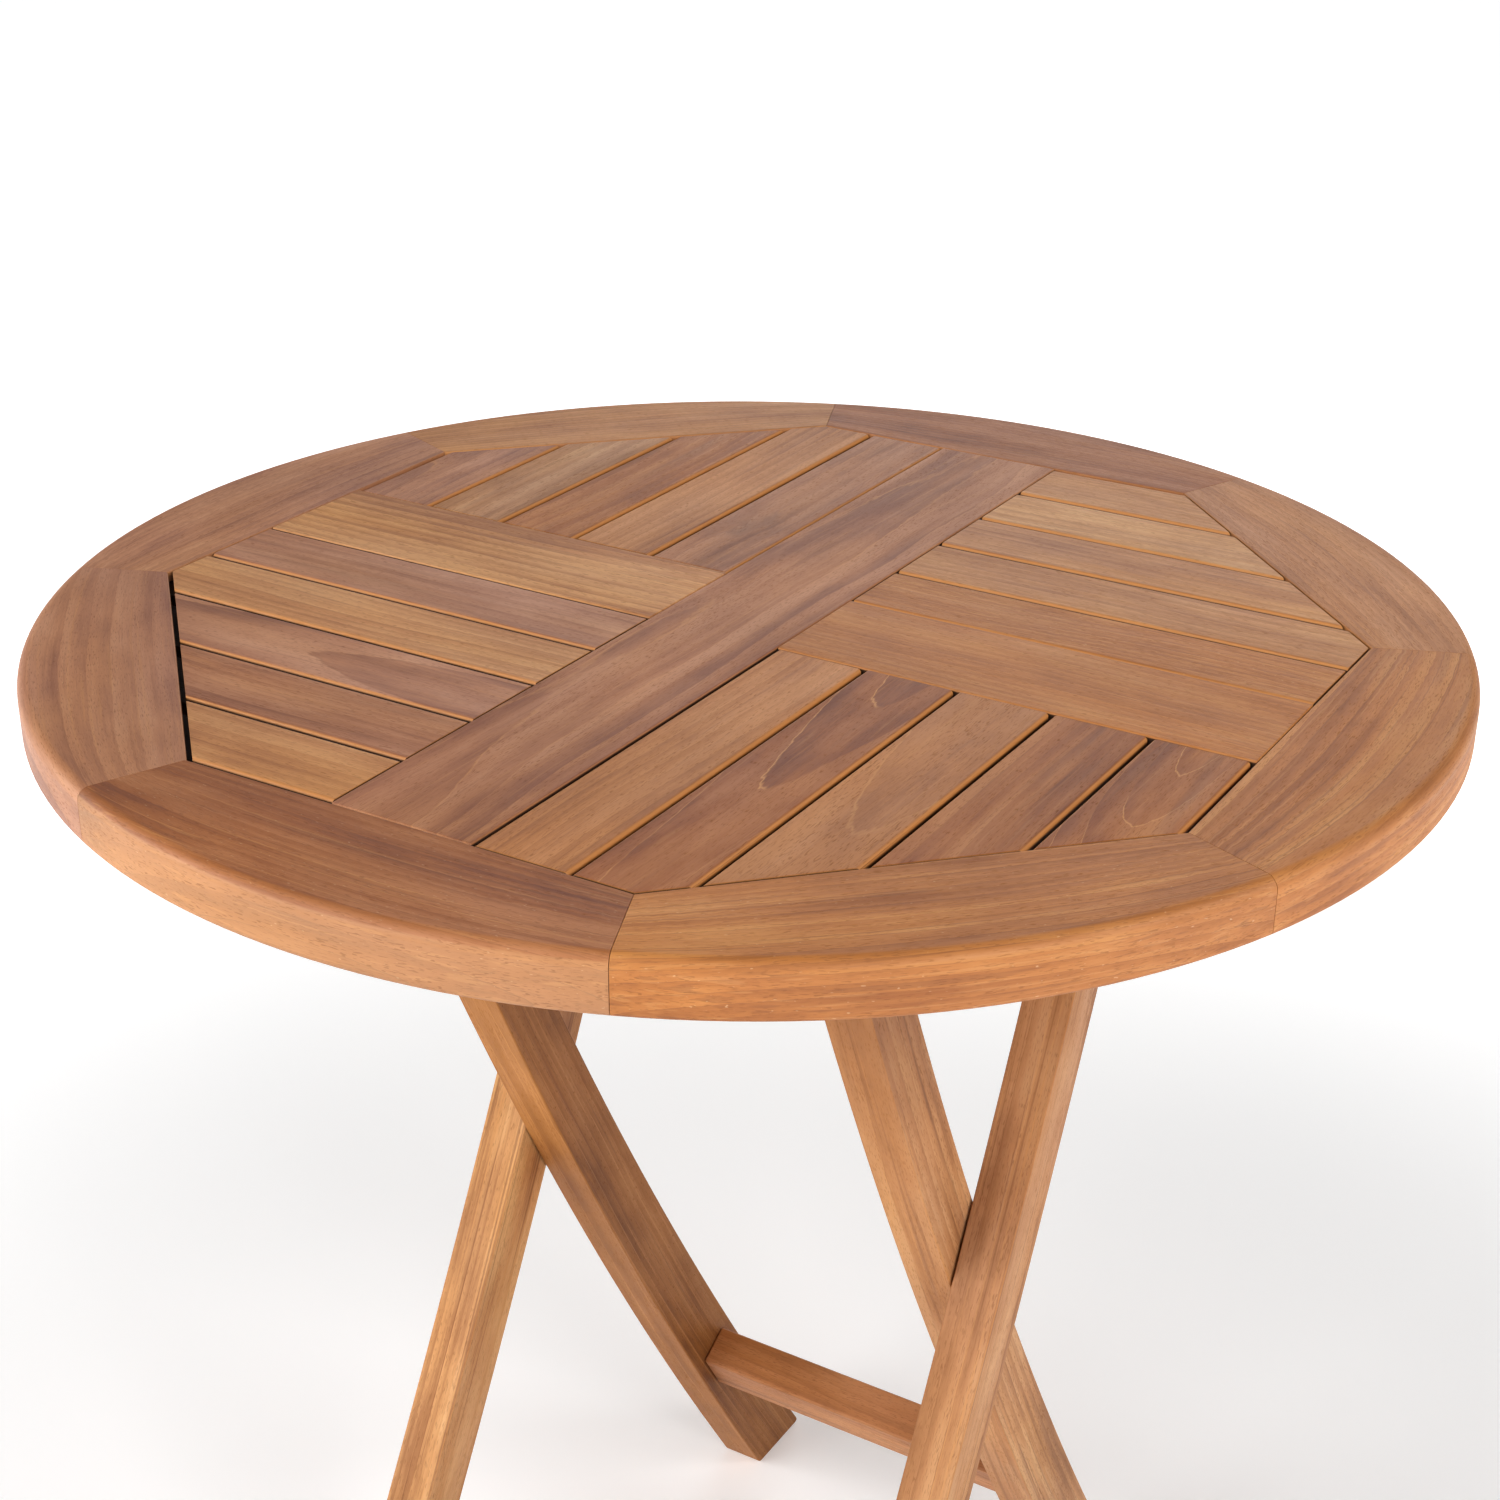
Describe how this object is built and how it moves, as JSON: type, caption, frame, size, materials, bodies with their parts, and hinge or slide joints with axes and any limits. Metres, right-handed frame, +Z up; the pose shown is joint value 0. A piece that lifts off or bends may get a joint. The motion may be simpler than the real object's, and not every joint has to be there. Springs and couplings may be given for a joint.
{
  "type": "round folding table",
  "caption": "Round slatted wooden table on two crossing leg frames that fold flat together while the top tips up to hang upright.",
  "frame": {"origin": "on the floor, under the middle of the top", "axes": "+Z up; X along the hinge and scissor axes; Y along the centre plank, with the inner leg frame's feet at +Y"},
  "size_m": [0.712, 0.712, 0.75],
  "materials": {
    "rim_teak": "oiled, satin",
    "rim_teak_light": "oiled, satin",
    "slat_teak": "oiled, satin",
    "slat_teak_dark": "oiled, satin",
    "plank_teak": "oiled, satin",
    "leg_teak": "oiled, satin",
    "hidden_teak": "oiled, satin",
    "brass": "satin",
    "steel": "satin"
  },
  "bodies": {
    "outer_frame": {"outer_leg_left": "leg_teak", "outer_leg_right": "leg_teak", "outer_stretcher": "leg_teak", "scissor_pin_left": "steel", "scissor_washer_left": "brass", "hinge_bolt_left": "brass", "hinge_washer_left": "brass", "hinge_insert_left": "brass", "scissor_pin_right": "steel", "scissor_washer_right": "brass", "hinge_bolt_right": "brass", "hinge_washer_right": "brass", "hinge_insert_right": "brass"},
    "inner_frame": {"inner_leg_left": "leg_teak", "inner_leg_right": "leg_teak", "inner_top_bar": "leg_teak", "inner_stretcher": "leg_teak"},
    "table_top": {"rim_segment_1": "rim_teak_light", "rim_segment_2": "rim_teak", "rim_segment_3": "rim_teak", "rim_segment_4": "rim_teak_light", "rim_segment_5": "rim_teak_light", "rim_segment_6": "rim_teak", "rim_segment_7": "rim_teak", "rim_segment_8": "rim_teak", "centre_plank": "plank_teak", "cross_rail_left": "plank_teak", "cross_rail_right": "plank_teak", "slat_front_1": "slat_teak_dark", "slat_front_2": "slat_teak", "slat_front_3": "slat_teak", "slat_front_4": "slat_teak_dark", "slat_front_5": "slat_teak", "slat_right_1": "slat_teak_dark", "slat_right_2": "slat_teak", "slat_right_3": "slat_teak", "slat_right_4": "slat_teak_dark", "slat_right_5": "slat_teak", "slat_back_1": "slat_teak", "slat_back_2": "slat_teak_dark", "slat_back_3": "slat_teak", "slat_back_4": "slat_teak", "slat_back_5": "slat_teak_dark", "slat_left_1": "slat_teak", "slat_left_2": "slat_teak_dark", "slat_left_3": "slat_teak", "slat_left_4": "slat_teak", "slat_left_5": "slat_teak_dark", "batten_left": "hidden_teak", "batten_screw_left_front": "brass", "batten_screw_left_back": "brass", "batten_right": "hidden_teak", "batten_screw_right_front": "brass", "batten_screw_right_back": "brass", "catch_rail": "hidden_teak", "latch_block": "hidden_teak", "turn_button_screw": "brass"},
    "turn_button": {"turn_button": "leg_teak"}
  },
  "joints": [
    {"name": "leg_fold", "type": "hinge", "parent": "outer_frame", "child": "inner_frame", "pos_m": [0, 0, 0.40373], "axis": [-1, 0, 0], "range_deg": [0, 49]},
    {"name": "top_tilt", "type": "hinge", "parent": "outer_frame", "child": "table_top", "pos_m": [0, 0.13728, 0.703], "axis": [-1, 0, 0], "range_deg": [0, 98]},
    {"name": "button_turn", "type": "hinge", "parent": "table_top", "child": "turn_button", "pos_m": [0, -0.0798, 0.723], "axis": [0, 0, -1], "range_deg": [0, 90]}
  ],
  "couplings": [
    {"joint": "top_tilt", "follows": "leg_fold", "ratio": 2}
  ]
}
